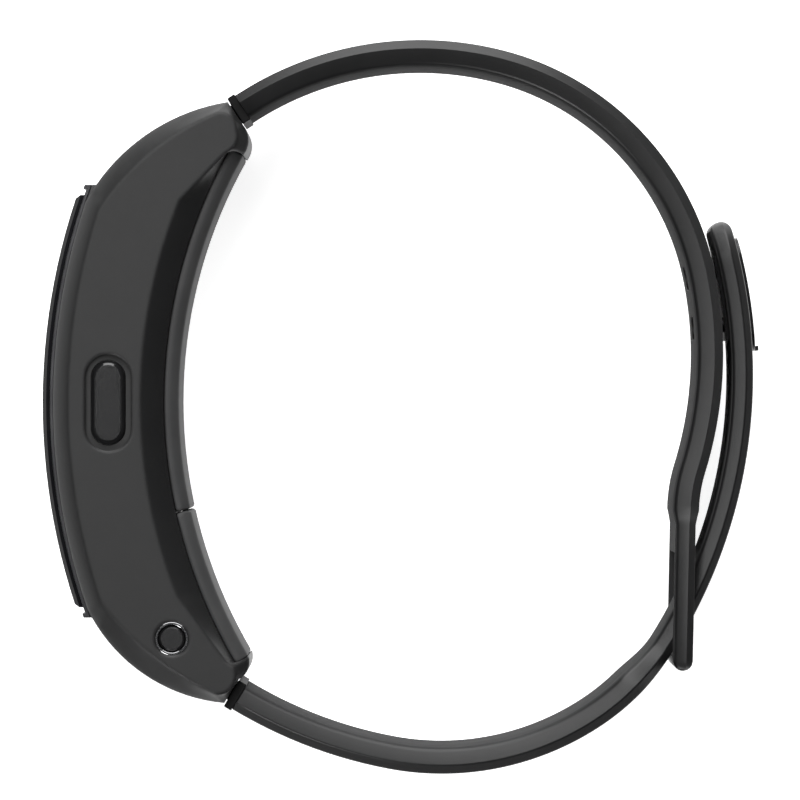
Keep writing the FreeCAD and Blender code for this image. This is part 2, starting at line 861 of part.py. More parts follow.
BEZEL_FRONT = size("glass_radius") - size("glass_thickness")
SHELL_FRONT = BEZEL_FRONT - size("bezel_thickness")
CORE_BACK = FLOOR_RADIUS + size("core_clearance")
CORE_MIDDLE = (size("core_top") + size("core_bottom")) / 2
CORE_LOW, CORE_WIDTH = centred(at("core_width"))
BOARD_FRONT = size("front_x") + size("board_depth")
BOARD_BACK = BOARD_FRONT + size("board_thickness")


def core_shell():
    """Moulded tub of the tracker core, open under the glass."""
    body = new_body("core_shell")
    wall = size("shell_wall")
    pad(body, "Tub", core_outline(SHELL_FRONT, CORE_BACK, 0), CORE_LOW, CORE_WIDTH)
    low, width = centred(at("core_width"), "-2 * " + at("shell_wall"))
    inside = core_outline(size("glass_radius") + wall, CORE_BACK + wall, -wall)
    pocket(body, "Hollow", inside, low, width)
    cut_port_mouth(body)
    return body


def port_outline(grow, mouth, floor=0):
    """Side outline of the charging port, grown all round, from its floor out to its mouth."""
    front = on_circle_at_y(FRONT_CENTRE, SHELL_FRONT, size("core_top")).x + size("stack_gap")
    back = front + size("port_height")
    end = size("core_top") + mouth
    inner = size("core_top") - size("port_depth") + floor
    outline = Outline(Vector(front - grow, end, 0)).line(Vector(front - grow, inner, 0))
    return outline.line(Vector(back + grow, inner, 0)).line(Vector(back + grow, end, 0)).line(outline.start)


def cut_port_mouth(body):
    """Opening in the end wall for the charging port."""
    grow = size("core_clearance") / 3
    low, width = centred(at("port_width"), "2 / 3 * " + at("core_clearance"))
    pocket(body, "PortMouth", port_outline(grow, size("shell_wall")), low, width)


def bezel_ring():
    """Thin metal ring under the edge of the glass, with a lip at each end."""
    body = new_body("bezel_ring")
    top, bottom = size("core_top"), size("core_bottom")
    rim = size("bezel_width")
    pad(body, "Band", shell_outline(BEZEL_FRONT, SHELL_FRONT, top, bottom), CORE_LOW, CORE_WIDTH)
    low, width = centred(at("core_width"), "-2 * " + at("bezel_width"))
    window = shell_outline(size("glass_radius"), SHELL_FRONT - rim, top - rim, bottom + rim)
    pocket(body, "Window", window, low, width)
    crest = BEZEL_FRONT + size("end_lip_height")
    length = size("end_lip_length")
    middle = (BEZEL_FRONT + SHELL_FRONT) / 2
    pad(body, "TopLip", shell_outline(crest, middle, top, top - length), CORE_LOW, CORE_WIDTH)
    pad(body, "BottomLip", shell_outline(crest, middle, bottom + length, bottom), CORE_LOW, CORE_WIDTH)
    return body


def display_glass():
    """Curved cover glass with a sloped rim."""
    body = new_body("display_glass")
    top = size("core_top") - size("end_rim_length")
    bottom = size("core_bottom") + size("end_rim_length")
    low, width = centred(at("core_width"), "-2 * " + at("glass_inset"))
    glass = pad(body, "Lens", shell_outline(size("glass_radius"), BEZEL_FRONT, top, bottom), low, width)
    outer = size("glass_radius")

    def on_front_rim(edge):
        points = [edge.valueAt(edge.FirstParameter), edge.valueAt(edge.LastParameter)]
        return all(abs(Vector(p.x, p.y, 0).distanceToPoint(FRONT_CENTRE) - outer) < TOLERANCE for p in points)

    dress(body, "SlopedRim", "Chamfer", glass, edge_names(glass, on_front_rim), at("glass_edge"))
    return body


def display_panel():
    """Curved screen panel under the glass."""
    body = new_body("display_panel")
    outer = BEZEL_FRONT - size("stack_gap")
    half = size("panel_length") / 2
    outline = shell_outline(outer, outer - size("panel_thickness"), CORE_MIDDLE + half, CORE_MIDDLE - half)
    low, width = centred(at("panel_width"))
    pad(body, "Screen", outline, low, width)
    return body


def box_outline(front, thickness, middle, length):
    """Rectangle in X and Y, given by its front, its depth and its middle in Y."""
    high, low = middle + length / 2, middle - length / 2
    outline = Outline(Vector(front, high, 0)).line(Vector(front, low, 0))
    outline.line(Vector(front + thickness, low, 0)).line(Vector(front + thickness, high, 0))
    return outline.line(outline.start)


def main_board():
    """Flat circuit board behind the screen."""
    body = new_body("main_board")
    outline = box_outline(BOARD_FRONT, size("board_thickness"), CORE_MIDDLE, size("board_length"))
    low, width = centred(at("board_width"))
    pad(body, "Laminate", outline, low, width)
    return body


def battery_cell():
    """Pouch cell behind the board."""
    body = new_body("battery_cell")
    front = size("front_x") + size("battery_depth")
    outline = box_outline(front, size("battery_thickness"), CORE_MIDDLE, size("battery_length"))
    low, width = centred(at("battery_width"))
    cell = pad(body, "Pouch", outline, low, width)
    thickness = size("battery_thickness")

    def across(edge):
        return abs(edge.Length - thickness) < TOLERANCE and abs(edge.tangentAt(edge.FirstParameter).x) > 0.9

    dress(body, "Corners", "Chamfer", cell, edge_names(cell, across), at("battery_corner"))
    return body


def vibration_motor():
    """Coin motor lying on the back of the board."""
    motor = doc.addObject("Part::Cylinder", "vibration_motor")
    motor.Label = "vibration_motor"
    motor.setExpression("Radius", at("motor_diameter") + " / 2")
    motor.setExpression("Height", at("motor_thickness"))
    place = Vector(BOARD_BACK + size("stack_gap"), size("motor_place"), size("case_width") / 2)
    motor.Placement = FreeCAD.Placement(place, FreeCAD.Rotation(Vector(0, 1, 0), 90))
    return motor


def charge_port():
    """Metal shell of the charging port in the end wall of the core."""
    body = new_body("charge_port")
    low, width = centred(at("port_width"))
    pad(body, "Shell", port_outline(0, 0), low, width)
    low, width = centred(at("port_width"), "-2 * " + at("port_wall"))
    wall = size("port_wall")
    pocket(body, "Mouth", port_outline(-wall, wall, wall), low, width)
    return body


# Straps

STRAP_LOW = "(%s - %s) / 2" % (at("case_width"), at("strap_width"))
STRAP_HIGH = "(%s + %s) / 2" % (at("case_width"), at("strap_width"))
TONGUE_LOW = "(%s - %s) / 2" % (at("case_width"), at("tongue_width"))
TONGUE_HIGH = "(%s + %s) / 2" % (at("case_width"), at("tongue_width"))


class Strap:
    """Stretch of a strap: its arcs, its two faces beside the centre line and its width."""

    def __init__(self, spans, inner, outer_on_left, low, high):
        self.spans = spans
        self.inner = inner
        self.outer_on_left = outer_on_left
        self.low = low
        self.high = high

    def slice(self, inner, outer, cap=None):
        """Outline between two distances from the centre line, counted away from the wrist."""
        left, right = (outer, -inner) if self.outer_on_left else (-inner, outer)
        return band_outline(self.spans, left, right, cap)

    def build(self, body, name):
        """Raise the stretch in three layers, with sloped rims."""
        edge, bevel = size("strap_inner_edge"), at("strap_bevel")
        rim = self.slice(self.inner + edge, HALF_STRAP - size("strap_bevel"))
        full = self.slice(self.inner, HALF_STRAP)
        low, high = self.low, self.high
        loft(body, name + "LowRim", rim, low, full, "%s + %s" % (low, bevel))
        pad(body, name + "Middle", full, "%s + %s" % (low, bevel), "%s - (%s) - 2 * %s" % (high, low, bevel))
        return loft(body, name + "HighRim", full, "%s - %s" % (high, bevel), rim, high)


def side_sketch(body, name, place, angle):
    """Sketch half way across the band that faces outwards at an angle in the XY plane."""
    sketch = body.newObject("Sketcher::SketchObject", name)
    sketch.AttachmentSupport = [(plane_of(body, "YZ_Plane"), "")]
    sketch.MapMode = "FlatFace"
    turn = FreeCAD.Rotation(Vector(0, 1, 0), math.degrees(angle))
    sketch.AttachmentOffset = FreeCAD.Placement(Vector(place.y, size("case_width") / 2, place.x), turn)
    sketch.setExpression("AttachmentOffset.Base.y", at("case_width") + " / 2")
    return sketch


def cut_across(body, name, outline, place, angle, depth):
    """Cut an outline through a strap along the direction that the sketch faces."""
    before = body.Shape.Volume
    sketch = side_sketch(body, name + "Sketch", place, angle)
    outline.draw(sketch)
    feature = body.newObject("PartDesign::Pocket", name)
    feature.Profile = sketch
    feature.Midplane = True
    feature.setExpression("Length", depth)
    doc.recompute()
    if body.Shape.Volume >= before:
        raise ValueError(name + " cuts nothing")
    return feature


def stud_angles():
    """Angles of the two clasp studs about the centre of the tail's curve."""
    middle = math.radians(size("clasp_angle"))
    half = size("slot_pitch") / (2 * TAIL_INNER_RADIUS)
    return middle - half, middle + half


def keeper_outline(near, far, half, capped):
    """Side outline of a stretch of the keeper, measured along it from the strap's end."""
    ahead, left = UPPER.ahead(), UPPER.left()
    start = UPPER.point + ahead * near
    end = UPPER.point + ahead * far
    outline = Outline(start - left * half)
    if capped:
        centre = end - ahead * half
        outline.line(centre - left * half).arc_through(end, centre + left * half)
    else:
        outline.line(end - left * half).line(end + left * half)
    return outline.line(start + left * half).line(outline.start)


def upper_strap():
    """Upper strap with two clasp slots, ending in the keeper ring."""
    body = new_body("upper_strap")
    Strap(UPPER.spans, -HALF_STRAP, True, STRAP_LOW, STRAP_HIGH).build(body, "Band")
    add_keeper(body)
    for number, angle in enumerate(stud_angles(), start=1):
        place = polar(TONGUE_CENTRE, TAIL_INNER_RADIUS - HALF_STRAP, angle)
        slot = obround_outline(Vector(), size("slot_length"), size("slot_width"))
        cut_across(body, "Slot%d" % number, slot, place, angle, "3 * " + at("strap_thickness"))
    return body


def add_keeper(body):
    """Ring that holds the tongue, moulded on the end of the upper strap."""
    low, width = centred(at("keeper_width"))
    half = size("keeper_thickness") / 2
    pad(body, "Keeper", keeper_outline(-half, size("keeper_length"), half, True), low, width)
    low, width = centred(at("tongue_width"), "2 * " + at("keeper_tongue_gap"))
    far = size("keeper_length") - size("keeper_bar")
    near = far - size("keeper_opening")
    window = keeper_outline(near, far, size("strap_thickness"), False)
    pocket(body, "KeeperWindow", window, low, width)


def lower_strap():
    """Lower strap, wide from the case and narrow where it passes the keeper ring."""
    body = new_body("lower_strap")
    neck = LOWER.spans[3]
    turn = math.radians(size("shoulder_turn"))
    shoulder = Span(neck.centre, neck.radius, neck.first, neck.first + turn)
    wide = Strap(LOWER.spans[:3] + [shoulder], -HALF_STRAP, False, STRAP_LOW, STRAP_HIGH)
    wide.build(body, "Wide")
    angle = shoulder.first + turn / 2
    place = polar(neck.centre, neck.radius, angle)
    half = neck.radius * turn / 2
    for side, sign in (("High", 1), ("Low", -1)):
        wedge = wedge_outline(half, size("tongue_width") / 2 * sign, size("strap_width") / 2 * sign)
        cut_across(body, "Shoulder" + side, wedge, place, angle, "2 * " + at("strap_thickness"))
    Strap(LOWER.spans[3:5], -TONGUE_INNER, False, TONGUE_LOW, TONGUE_HIGH).build(body, "Neck")
    return body


def wedge_outline(half, inner, outer):
    """Triangle that takes a corner off a strap where it narrows."""
    margin = (outer - inner) / 2
    outline = Outline(Vector(-half, outer, 0)).line(Vector(half, inner, 0))
    outline.line(Vector(2 * half, inner, 0)).line(Vector(2 * half, outer + margin, 0))
    return outline.line(Vector(-half, outer + margin, 0)).line(outline.start)


def corner_outline(radius, end, side, sign):
    """Square corner less its quarter circle, to round the tongue's end in plan."""
    centre = Vector(end - radius, (side - radius) * sign, 0)
    outline = Outline(Vector(end - radius, side * sign, 0))
    outline.arc(centre, Vector(end, (side - radius) * sign, 0), sign < 0)
    outline.line(Vector(end + radius, (side - radius) * sign, 0))
    outline.line(Vector(end + radius, (side + radius) * sign, 0))
    return outline.line(Vector(end - radius, (side + radius) * sign, 0)).line(outline.start)


def strap_tail():
    """Free end of the tongue, beyond the place where it flexes open."""
    body = new_body("strap_tail")
    first = TAIL_SPAN.first + size("tail_gap") / TAIL_OUTER_RADIUS
    rim_end = TAIL_SPAN.last - size("tail_rim_end") / TAIL_OUTER_RADIUS
    rims = Span(TAIL_SPAN.centre, TAIL_SPAN.radius, first, rim_end)
    Strap([rims], -TONGUE_INNER, False, TONGUE_LOW, TONGUE_HIGH).build(body, "Tail")
    tip = Strap([Span(TAIL_SPAN.centre, TAIL_SPAN.radius, rim_end, TAIL_SPAN.last)], -TONGUE_INNER, False,
                TONGUE_LOW, TONGUE_HIGH)
    cap_turn = size("tongue_thickness") / 2 / TAIL_INNER_RADIUS
    last = TAIL_SPAN.last + cap_turn
    cap = polar(TONGUE_CENTRE, (TAIL_OUTER_RADIUS + TAIL_INNER_RADIUS) / 2, last)
    low, width = centred(at("tongue_width"), "-2 * " + at("strap_bevel"))
    pad(body, "Tip", tip.slice(-TONGUE_INNER, HALF_STRAP, cap), low, width)
    place = polar(TONGUE_CENTRE, TAIL_INNER_RADIUS, last)
    for side, sign in (("High", 1), ("Low", -1)):
        corner = corner_outline(size("tail_corner"), 0, size("tongue_width") / 2, sign)
        cut_across(body, "Corner" + side, corner, place, last, "4 * " + at("strap_thickness"))
    return body


# Links and pins that join the straps to the case


def strap_link(label, lug):
    """End plate of a strap with the tongue that enters the case."""
    body = new_body(label)
    plate = size("link_thickness")
    low, width = centred(at("link_width"))
    pad(body, "Plate", lug.block(0, plate, size("link_height") / 2), low, width)
    low, width = centred(at("lug_width"))
    tongue = lug.block(plate / 2, plate + size("tip_gap") + size("lug_length"), size("lug_thickness") / 2)
    pad(body, "Tongue", tongue, low, width)
    bore = circle_outline(lug.pin, size("pin_diameter") / 2, None)
    pocket(body, "PinBore", bore, low, width)
    return body


def link_pin(label, lug):
    """Round steel pin through a link's tongue."""
    pin = doc.addObject("Part::Cylinder", label)
    pin.Label = label
    pin.setExpression("Radius", at("pin_diameter") + " / 2")
    pin.setExpression("Height", at("pin_length"))
    low = (size("case_width") - size("pin_length")) / 2
    pin.Placement = FreeCAD.Placement(lug.pin + UP * low, FreeCAD.Rotation())
    return pin


# Clasp on the tail


def sector_outline(inner, outer, length, shift=0):
    """Curved slice on the tail, centred on the clasp or shifted along it."""
    middle = math.radians(size("clasp_angle")) + shift / TAIL_OUTER_RADIUS
    half = length / (2 * TAIL_OUTER_RADIUS)
    low, high = middle - half, middle + half
    outline = Outline(polar(TONGUE_CENTRE, outer, low))
    outline.arc(TONGUE_CENTRE, polar(TONGUE_CENTRE, outer, high), True)
    outline.line(polar(TONGUE_CENTRE, inner, high))
    return outline.arc(TONGUE_CENTRE, polar(TONGUE_CENTRE, inner, low), False).line(outline.start)


def clasp_plate():
    """Curved metal plate on the outside of the tail."""
    body = new_body("clasp_plate")
    thickness = size("clasp_thickness")
    outline = sector_outline(TAIL_OUTER_RADIUS, TAIL_OUTER_RADIUS + thickness, size("clasp_length"))
    low, width = centred(at("clasp_width"))
    plate = pad(body, "Plate", outline, low, width)
    names = edge_names(plate, lambda edge: abs(edge.Length - thickness) < TOLERANCE)
    dress(body, "Corners", "Fillet", plate, names, at("clasp_corner"))
    shift = (size("clasp_lip_length") - size("clasp_length")) / 2
    lip = sector_outline(TAIL_OUTER_RADIUS + thickness / 2, TAIL_OUTER_RADIUS + thickness
                         + size("clasp_lip_height"), size("clasp_lip_length"), shift)
    low, width = centred(at("clasp_width"), "-2 * " + at("clasp_corner"))
    pad(body, "Lip", lip, low, width)
    return body


def clasp_base():
    """Inner plate of the clasp with the two studs that fill the slots."""
    body = new_body("clasp_base")
    thickness = size("base_thickness")
    outline = sector_outline(TAIL_INNER_RADIUS - thickness, TAIL_INNER_RADIUS, size("base_length"))
    low, width = centred(at("base_width"))
    pad(body, "Plate", outline, low, width)
    for number, angle in enumerate(stud_angles(), start=1):
        add_stud(body, "Stud%d" % number, angle)
    return body


def add_stud(body, name, angle):
    """Oblong stud with a chamfered tip, pointing at the wrist."""
    place = polar(TONGUE_CENTRE, TAIL_INNER_RADIUS - size("base_thickness") / 2, angle)
    sketch = side_sketch(body, name + "Sketch", place, angle)
    obround_outline(Vector(), size("stud_length"), size("stud_width")).draw(sketch)
    stud = body.newObject("PartDesign::Pad", name)
    stud.Profile = sketch
    stud.Reversed = True
    stud.setExpression("Length", at("stud_height"))
    doc.recompute()
    tip = place - Vector(math.cos(angle), math.sin(angle), 0) * size("stud_height")
    direction = Vector(math.cos(angle), math.sin(angle), 0)

    def on_tip(edge):
        return all(abs((vertex.Point - tip).dot(direction)) < TOLERANCE for vertex in edge.Vertexes)

    dress(body, name + "Tip", "Chamfer", stud, edge_names(stud, on_tip), at("stud_tip"))


def build():
    """Make every sub-part in order."""
    parts = [
        case_frame(),
        back_cover("back_cover_upper", size("cover_top"), size("cover_seam")),
        back_cover("back_cover_lower", size("cover_seam") - size("seam_gap"), size("cover_bottom")),
        function_key(),
        key_seal(),
        key_dome(),
        core_shell(),
        bezel_ring(),
        display_glass(),
        display_panel(),
        main_board(),
        battery_cell(),
        vibration_motor(),
        charge_port(),
        upper_strap(),
        lower_strap(),
        strap_tail(),
        strap_link("upper_link", TOP_LUG),
        strap_link("lower_link", BOTTOM_LUG),
        link_pin("upper_pin", TOP_LUG),
        link_pin("lower_pin", BOTTOM_LUG),
        clasp_plate(),
        clasp_base(),
    ]
    for side, upper_side in (("near", True), ("far", False)):
        parts.append(release_button("release_button_" + side, upper_side))
        parts.append(button_ring("button_ring_" + side, upper_side))
        parts.append(button_pad("button_pad_" + side, upper_side))
    return parts


def check(parts):
    """Stop if anything in the document failed or came out empty."""
    doc.recompute()
    for item in doc.Objects:
        if "Invalid" in item.State or "Error" in item.State:
            raise ValueError(item.Name + " failed")
    for part in parts:
        if part.Shape.isNull() or not part.Shape.isValid() or not part.Shape.Solids:
            raise ValueError(part.Label + " has no valid solid")


def export(parts):
    """Write one file for each sub-part."""
    os.makedirs("parts", exist_ok=True)
    for part in parts:
        part.Shape.exportStep("parts/%s.step" % part.Label)
        box = part.Shape.BoundBox
        print("%s: %.2f cubic mm, %d solid, X %.2f to %.2f, Y %.2f to %.2f, Z %.2f to %.2f" % (
            part.Label, part.Shape.Volume, len(part.Shape.Solids),
            box.XMin, box.XMax, box.YMin, box.YMax, box.ZMin, box.ZMax))


all_parts = build()
check(all_parts)
export(all_parts)
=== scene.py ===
"""Looks of the fitness tracker band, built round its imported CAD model."""

import logging
import math
from dataclasses import dataclass, field
from enum import Enum
from typing import Callable

import bmesh
import bpy
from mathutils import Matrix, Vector


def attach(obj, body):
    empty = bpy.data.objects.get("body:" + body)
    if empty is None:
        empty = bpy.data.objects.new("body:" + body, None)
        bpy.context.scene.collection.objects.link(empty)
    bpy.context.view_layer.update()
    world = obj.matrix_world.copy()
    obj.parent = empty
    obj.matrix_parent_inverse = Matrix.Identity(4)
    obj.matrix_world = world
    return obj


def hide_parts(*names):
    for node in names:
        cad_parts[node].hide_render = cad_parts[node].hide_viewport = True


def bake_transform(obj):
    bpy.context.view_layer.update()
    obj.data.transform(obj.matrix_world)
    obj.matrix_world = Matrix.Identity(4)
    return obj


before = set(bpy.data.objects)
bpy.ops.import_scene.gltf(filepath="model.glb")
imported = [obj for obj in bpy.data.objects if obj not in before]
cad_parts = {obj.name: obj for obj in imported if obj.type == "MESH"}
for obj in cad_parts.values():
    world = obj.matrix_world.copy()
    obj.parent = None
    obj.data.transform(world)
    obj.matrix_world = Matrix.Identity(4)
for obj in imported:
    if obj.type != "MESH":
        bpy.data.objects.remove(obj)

LOG = logging.getLogger("band")
MM = 0.001
MID_HEIGHT = 11.0
Colour = tuple[float, float, float]
Test = Callable[[Vector], bool]


class Body(Enum):
    """Moving bodies of the band."""

    CASE = "case"
    CORE = "core"
    KEY = "key"
    TAIL = "tail"


class Turn(Enum):
    """Side to which a strap bends as it leaves the case."""

    LEFT = 1
    RIGHT = -1


# Finishes


def paint(name: str) -> tuple[bpy.types.Material, bpy.types.Node, bpy.types.NodeTree]:
    """Start a material.

    Args:
        name: Name of the material.

    Returns:
        The material, its shader node and its node tree.
    """
    material = bpy.data.materials.new(name)
    material.use_nodes = True
    tree = material.node_tree
    return material, tree.nodes["Principled BSDF"], tree


def noise(tree: bpy.types.NodeTree, grain: float, detail: float) -> bpy.types.Node:
    """Add a noise on Object coordinates.

    Args:
        tree: Node tree to add it to.
        grain: Size of one grain in millimetres.
        detail: Detail of the noise.

    Returns:
        The noise node.
    """
    place = tree.nodes.new("ShaderNodeTexCoord")
    texture = tree.nodes.new("ShaderNodeTexNoise")
    texture.inputs["Scale"].default_value = 1 / (grain * MM)
    texture.inputs["Detail"].default_value = detail
    tree.links.new(place.outputs["Object"], texture.inputs["Vector"])
    return texture


PATCH_EDGES = (0.35, 0.65)
PATCH_DETAIL = 3.0
GRAIN_DETAIL = 2.0
EDGE_SAMPLES = 6


@dataclass(frozen=True)
class Finish:
    """Moulded or coated surface with a fine grain, patches of colour and uneven gloss."""

    name: str
    colour: Colour
    patch: Colour
    roughness: float
    roughness_swing: float = 0.08
    patch_size: float = 4.0
    grain: float = 0.12
    grain_depth: float = 0.004
    metallic: float = 0.0
    specular: float = 0.5
    edge_softness: float = 0.0

    def make(self) -> bpy.types.Material:
        """Build the material from nodes."""
        material, shader, tree = paint(self.name)
        patches = noise(tree, self.patch_size, PATCH_DETAIL)
        ramp = tree.nodes.new("ShaderNodeValToRGB")
        for element, place, colour in zip(ramp.color_ramp.elements, PATCH_EDGES, (self.colour, self.patch)):
            element.position = place
            element.color = (*colour, 1.0)
        tree.links.new(patches.outputs["Fac"], ramp.inputs["Fac"])
        tree.links.new(ramp.outputs["Color"], shader.inputs["Base Color"])
        grains = noise(tree, self.grain, GRAIN_DETAIL)
        gloss = tree.nodes.new("ShaderNodeMapRange")
        gloss.inputs["To Min"].default_value = self.roughness - self.roughness_swing
        gloss.inputs["To Max"].default_value = self.roughness + self.roughness_swing
        tree.links.new(grains.outputs["Fac"], gloss.inputs["Value"])
        tree.links.new(gloss.outputs["Result"], shader.inputs["Roughness"])
        bump = tree.nodes.new("ShaderNodeBump")
        bump.inputs["Distance"].default_value = self.grain_depth * MM
        tree.links.new(grains.outputs["Fac"], bump.inputs["Height"])
        tree.links.new(bump.outputs["Normal"], shader.inputs["Normal"])
        if self.edge_softness:
            soft = tree.nodes.new("ShaderNodeBevel")
            soft.samples = EDGE_SAMPLES
            soft.inputs["Radius"].default_value = self.edge_softness * MM
            tree.links.new(soft.outputs["Normal"], bump.inputs["Normal"])
        shader.inputs["Metallic"].default_value = self.metallic
        shader.inputs["Specular IOR Level"].default_value = self.specular
        return material


FRAME_FINISH = Finish("soft_touch_frame", (0.0080, 0.0080, 0.0082), (0.0092, 0.0092, 0.0094), 0.42,
                      specular=0.34, edge_softness=0.45)
COVER_FINISH = Finish("cover_plastic", (0.044, 0.044, 0.0445), (0.051, 0.051, 0.0515), 0.52, specular=0.08,
                      edge_softness=0.3)
KEY_FINISH = Finish("key_gloss", (0.006, 0.006, 0.0063), (0.008, 0.008, 0.0083), 0.16, 0.04)
SEAL_FINISH = Finish("seal_rubber", (0.008, 0.008, 0.008), (0.011, 0.011, 0.011), 0.7)
STEEL_FINISH = Finish("spring_steel", (0.45, 0.45, 0.46), (0.52, 0.52, 0.53), 0.3, metallic=1.0)
SHELL_FINISH = Finish("core_shell_plastic", (0.014, 0.014, 0.015), (0.018, 0.018, 0.019), 0.4)
BEZEL_FINISH = Finish("dark_chrome", (0.035, 0.035, 0.037), (0.046, 0.046, 0.048), 0.3, 0.05, metallic=1.0)
GLASS_FINISH = Finish("black_glass", (0.004, 0.004, 0.005), (0.006, 0.006, 0.007), 0.06, 0.02,
                      grain=0.6, grain_depth=0.0004, specular=0.3)
PANEL_FINISH = Finish("screen_panel", (0.006, 0.007, 0.010), (0.010, 0.011, 0.016), 0.25)
BOARD_FINISH = Finish("green_laminate", (0.01, 0.09, 0.035), (0.015, 0.13, 0.05), 0.42, grain=0.3)
BATTERY_FINISH = Finish("pouch_foil", (0.55, 0.56, 0.58), (0.62, 0.63, 0.65), 0.35, grain=0.5,
                        grain_depth=0.02, metallic=0.9)
STRAP_FINISH = Finish("strap_elastomer", (0.0060, 0.0060, 0.0062), (0.0080, 0.0080, 0.0082), 0.36, 0.07,
                      grain=0.10, grain_depth=0.005, specular=0.32)
# Lighter copy of the strap's elastomer with almost no gloss: the inner faces get a painted reflection of the
# pale floor.
PAINTED_REFLECTION_FINISH = Finish("strap_inner_painted_reflection", (0.040, 0.040, 0.0405), (0.048, 0.048, 0.0485), 0.7, 0.08,
                      grain=0.10, grain_depth=0.006, specular=0.02)
LINK_FINISH = Finish("link_plastic", (0.005, 0.005, 0.005), (0.007, 0.007, 0.007), 0.55, specular=0.1)
CLASP_FINISH = Finish("coated_clasp", (0.020, 0.020, 0.021), (0.027, 0.027, 0.028), 0.3, 0.05,
                      grain=0.2, metallic=0.8)
BUTTON_FINISH = Finish("button_plastic", (0.006, 0.006, 0.0063), (0.008, 0.008, 0.0083), 0.2, 0.04)
RING_FINISH = Finish("button_chrome", (0.20, 0.20, 0.205), (0.25, 0.25, 0.255), 0.14, 0.03, metallic=1.0)

NODE_FINISHES = {
    FRAME_FINISH: ["case_frame"],
    COVER_FINISH: ["back_cover_upper", "back_cover_lower"],
    KEY_FINISH: ["function_key"],
    SEAL_FINISH: ["key_seal", "button_pad_near", "button_pad_far"],
    STEEL_FINISH: ["key_dome", "upper_pin", "lower_pin", "charge_port", "vibration_motor"],
    SHELL_FINISH: ["core_shell"],
    BEZEL_FINISH: ["bezel_ring"],
    GLASS_FINISH: ["display_glass"],
    PANEL_FINISH: ["display_panel"],
    BOARD_FINISH: ["main_board"],
    BATTERY_FINISH: ["battery_cell"],
    STRAP_FINISH: ["upper_strap", "lower_strap", "strap_tail"],
    LINK_FINISH: ["upper_link", "lower_link"],
    CLASP_FINISH: ["clasp_plate", "clasp_base"],
    BUTTON_FINISH: ["release_button_near", "release_button_far"],
    RING_FINISH: ["button_ring_near", "button_ring_far"],
}


WELD_DISTANCE = 0.0005
DOUBLES_DISTANCE = 0.0002


@dataclass
class CadDressing:
    """Finishes and soft edges of the CAD nodes that stay."""

    materials: dict[str, bpy.types.Material] = field(default_factory=dict)
    soft_edges: dict[str, float] = field(default_factory=lambda: {
        "case_frame": 0.14,
        "back_cover_upper": 0.34,
        "back_cover_lower": 0.34,
        "function_key": 0.06,
        "bezel_ring": 0.05,
        "core_shell": 0.08,
        "upper_link": 0.08,
        "lower_link": 0.08,
        "clasp_plate": 0.06,
        "button_ring_near": 0.05,
        "button_ring_far": 0.05,
        "release_button_near": 0.04,
        "release_button_far": 0.04,
    })

    def dress(self) -> None:
        """Give every CAD node its finish and its soft edges."""
        for finish, names in NODE_FINISHES.items():
            self.materials[finish.name] = finish.make()
            for name in names:
                self.coat(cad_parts[name], self.materials[finish.name])
        for name, width in self.soft_edges.items():
            soften(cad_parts[name], width)

    def coat(self, node: bpy.types.Object, material: bpy.types.Material) -> None:
        """Put a material in every slot of an object."""
        for slot in node.material_slots:
            slot.material = material
        LOG.info("dressed %s with %s", node.name, material.name)


def soften(node: bpy.types.Object, width: float, angle: float = 28.0) -> None:
    """Weld and bevel a CAD node with live modifiers.

    Args:
        node: CAD node.
        width: Width of the bevel in millimetres.
        angle: Angle in degrees from which an edge is bevelled.
    """
    weld = node.modifiers.new("Weld", "WELD")
    weld.merge_threshold = WELD_DISTANCE * MM
    bevel = node.modifiers.new("Bevel", "BEVEL")
    bevel.width = width * MM
    bevel.segments = 2
    bevel.limit_method = "ANGLE"
    bevel.angle_limit = math.radians(angle)


# Modelling


def all_deselected() -> None:
    """Leave edit mode and deselect every object."""
    if bpy.context.object and bpy.context.object.mode != "OBJECT":
        bpy.ops.object.mode_set(mode="OBJECT")
    bpy.ops.object.select_all(action="DESELECT")


def take(piece: bpy.types.Object) -> None:
    """Make one object the only selected and active one."""
    all_deselected()
    piece.select_set(True)
    bpy.context.view_layer.objects.active = piece


def pick_points(piece: bpy.types.Object, wanted: Test) -> None:
    """Select the vertices of an object in edit mode by their place.

    Args:
        piece: Object in edit mode.
        wanted: Test of a place in metres.
    """
    bpy.ops.mesh.select_mode(type="VERT")
    bpy.ops.mesh.select_all(action="DESELECT")
    mesh = bmesh.from_edit_mesh(piece.data)
    for vertex in mesh.verts:
        vertex.select_set(wanted(vertex.co))
    mesh.select_flush(True)
    bmesh.update_edit_mesh(piece.data)


def finish_modifier(piece: bpy.types.Object, kind: str, **settings: object) -> None:
    """Add a modifier to an object and apply it.

    Args:
        piece: Object to change.
        kind: Type of the modifier.
        **settings: Its settings.
    """
    take(piece)
    modifier = piece.modifiers.new(kind.title(), kind)
    for setting, value in settings.items():
        setattr(modifier, setting, value)
    bpy.ops.object.modifier_apply(modifier=modifier.name)


def close_and_smooth(piece: bpy.types.Object, angle: float = 34.0) -> None:
    """Merge doubles, point the faces outwards and shade them smooth by angle.

    Args:
        piece: Object to finish.
        angle: Angle in degrees up to which edges look smooth.
    """
    take(piece)
    bpy.ops.object.mode_set(mode="EDIT")
    bpy.ops.mesh.select_all(action="SELECT")
    bpy.ops.mesh.remove_doubles(threshold=DOUBLES_DISTANCE * MM)
    bpy.ops.mesh.normals_make_consistent(inside=False)
    bpy.ops.object.mode_set(mode="OBJECT")
    bpy.ops.object.shade_smooth_by_angle(angle=math.radians(angle))


def cut_away(piece: bpy.types.Object, cutter: bpy.types.Object) -> None:
    """Cut one object's space out of another, and remove the cutter."""
    finish_modifier(piece, "BOOLEAN", object=cutter, operation="DIFFERENCE", solver="EXACT")
    bpy.data.objects.remove(cutter)


